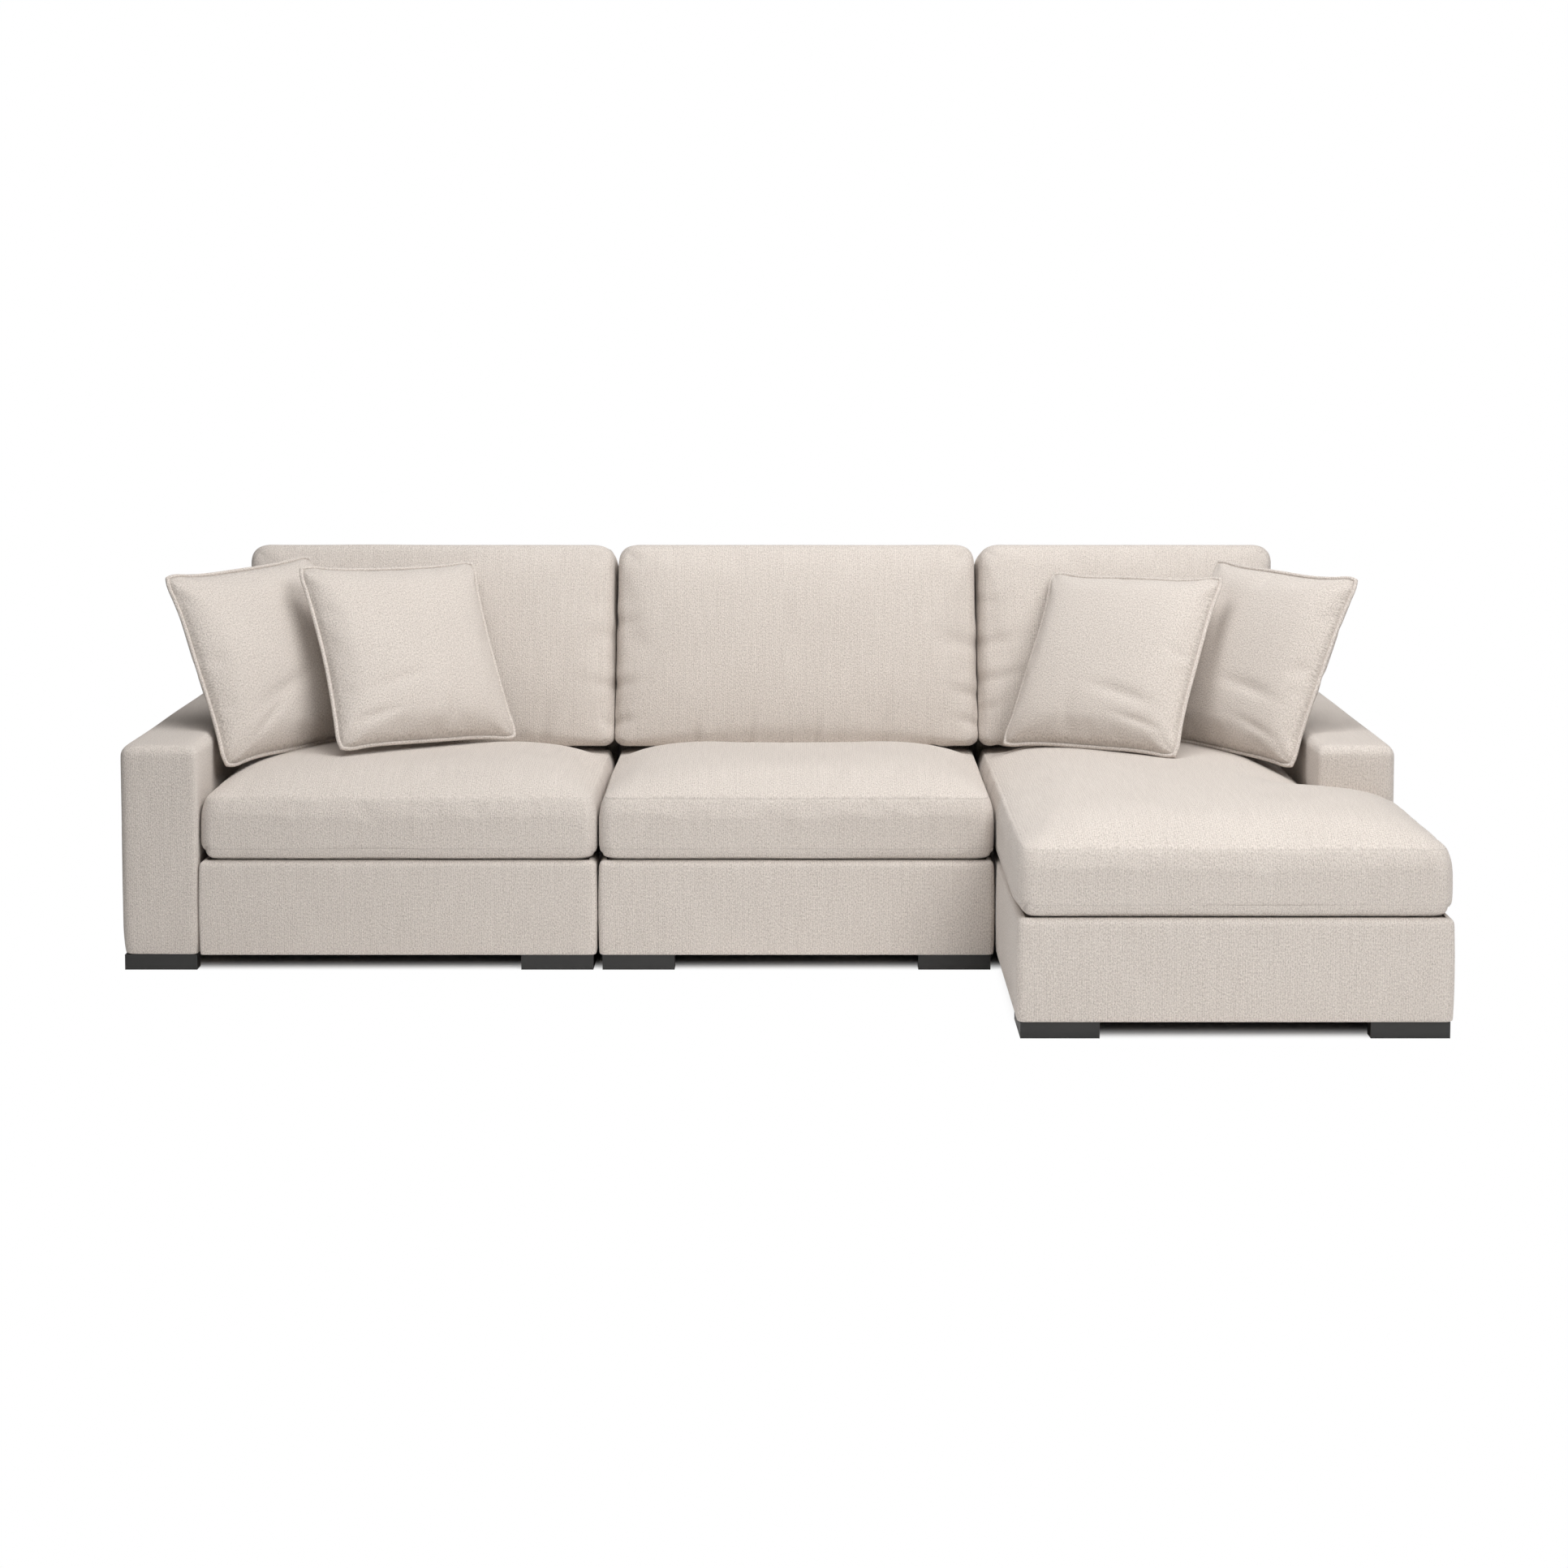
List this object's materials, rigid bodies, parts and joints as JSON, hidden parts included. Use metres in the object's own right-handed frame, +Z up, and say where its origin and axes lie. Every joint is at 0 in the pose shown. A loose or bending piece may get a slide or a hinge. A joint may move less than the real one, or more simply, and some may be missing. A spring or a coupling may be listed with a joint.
{
  "type": "sectional sofa with chaise",
  "caption": "Modular sectional sofa with a chaise, low track arms, loose seat and back cushions, piped throw pillows and low block feet.",
  "frame": {"origin": "on the floor, under the middle of the footprint of the whole sofa with its chaise", "axes": "+X to the right of somebody who faces the sofa, +Y towards the back, +Z up"},
  "size_m": [3.084, 1.669, 0.9669],
  "materials": {
    "upholstery": "ribbed chenille, warm pale greige with a fine speckle",
    "welt_cord": "piping in the same ribbed chenille",
    "deck_cloth": "plain woven decking over a felt pad",
    "dust_cloth": "thin black non-woven cambric",
    "foam": "foam core wrapped in polyester fibre",
    "frame_wood": "raw kiln-dried softwood and plywood",
    "feet_black": "satin black stained blocks",
    "spring_steel": "oiled spring wire",
    "zinc_steel": "bright zinc plated"
  },
  "bodies": {
    "middle_module": {"middle_base_frame": "frame_wood", "middle_seat_springs": "spring_steel", "middle_seat_deck": "deck_cloth", "middle_base_cover": "upholstery", "middle_dust_cover": "dust_cloth", "middle_back_frame": "frame_wood", "middle_back_cover": "upholstery", "middle_feet": "feet_black", "middle_foot_screws": "zinc_steel", "middle_connector_channels": "zinc_steel"},
    "left_module": {"left_base_frame": "frame_wood", "left_seat_springs": "spring_steel", "left_seat_deck": "deck_cloth", "left_base_cover": "upholstery", "left_dust_cover": "dust_cloth", "left_back_frame": "frame_wood", "left_back_cover": "upholstery", "left_feet": "feet_black", "left_foot_screws": "zinc_steel", "left_arm_frame": "frame_wood", "left_arm_cover": "upholstery", "left_connector_hooks": "zinc_steel"},
    "chaise_module": {"chaise_base_frame": "frame_wood", "chaise_seat_springs": "spring_steel", "chaise_seat_deck": "deck_cloth", "chaise_base_cover": "upholstery", "chaise_dust_cover": "dust_cloth", "chaise_back_frame": "frame_wood", "chaise_back_cover": "upholstery", "chaise_feet": "feet_black", "chaise_foot_screws": "zinc_steel", "right_arm_frame": "frame_wood", "right_arm_cover": "upholstery", "chaise_connector_hooks": "zinc_steel"},
    "left_seat_cushion": {"left_seat_cover": "upholstery", "left_seat_core": "foam"},
    "middle_seat_cushion": {"middle_seat_cover": "upholstery", "middle_seat_core": "foam"},
    "chaise_seat_cushion": {"chaise_seat_cover": "upholstery", "chaise_seat_core": "foam"},
    "left_back_cushion": {"left_back_cushion_cover": "upholstery", "left_back_cushion_core": "foam"},
    "middle_back_cushion": {"middle_back_cushion_cover": "upholstery", "middle_back_cushion_core": "foam"},
    "chaise_back_cushion": {"chaise_back_cushion_cover": "upholstery", "chaise_back_cushion_core": "foam"},
    "outer_left_pillow": {"outer_left_pillow_cover": "upholstery", "outer_left_pillow_insert": "foam", "outer_left_pillow_piping": "welt_cord"},
    "inner_left_pillow": {"inner_left_pillow_cover": "upholstery", "inner_left_pillow_insert": "foam", "inner_left_pillow_piping": "welt_cord"},
    "inner_right_pillow": {"inner_right_pillow_cover": "upholstery", "inner_right_pillow_insert": "foam", "inner_right_pillow_piping": "welt_cord"},
    "outer_right_pillow": {"outer_right_pillow_cover": "upholstery", "outer_right_pillow_insert": "foam", "outer_right_pillow_piping": "welt_cord"}
  },
  "joints": [
    {"name": "left_module_lift", "type": "slide", "parent": "middle_module", "child": "left_module", "axis": [0, 0, 1], "range_m": [0, 0.06]},
    {"name": "chaise_module_lift", "type": "slide", "parent": "middle_module", "child": "chaise_module", "axis": [0, 0, 1], "range_m": [0, 0.06]},
    {"name": "left_seat_lift", "type": "slide", "parent": "left_module", "child": "left_seat_cushion", "axis": [0, 0, 1], "range_m": [0, 0.3]},
    {"name": "middle_seat_lift", "type": "slide", "parent": "middle_module", "child": "middle_seat_cushion", "axis": [0, 0, 1], "range_m": [0, 0.3]},
    {"name": "chaise_seat_lift", "type": "slide", "parent": "chaise_module", "child": "chaise_seat_cushion", "axis": [0, 0, 1], "range_m": [0, 0.3]},
    {"name": "left_back_slide", "type": "slide", "parent": "left_seat_cushion", "child": "left_back_cushion", "axis": [0, 0.2588, 0.9659], "range_m": [0, 0.45]},
    {"name": "middle_back_slide", "type": "slide", "parent": "middle_seat_cushion", "child": "middle_back_cushion", "axis": [0, 0.2588, 0.9659], "range_m": [0, 0.45]},
    {"name": "chaise_back_slide", "type": "slide", "parent": "chaise_seat_cushion", "child": "chaise_back_cushion", "axis": [0, 0.2588, 0.9659], "range_m": [0, 0.45]},
    {"name": "outer_left_pillow_lift", "type": "slide", "parent": "left_seat_cushion", "child": "outer_left_pillow", "axis": [-0.332, 0.208, 0.9201], "range_m": [0, 0.3]},
    {"name": "inner_left_pillow_lift", "type": "slide", "parent": "left_seat_cushion", "child": "inner_left_pillow", "axis": [0, 0, 1], "range_m": [0, 0.3]},
    {"name": "inner_right_pillow_lift", "type": "slide", "parent": "chaise_seat_cushion", "child": "inner_right_pillow", "axis": [0, 0, 1], "range_m": [0, 0.3]},
    {"name": "outer_right_pillow_lift", "type": "slide", "parent": "chaise_seat_cushion", "child": "outer_right_pillow", "axis": [0.355, 0.231, 0.9059], "range_m": [0, 0.3]}
  ]
}
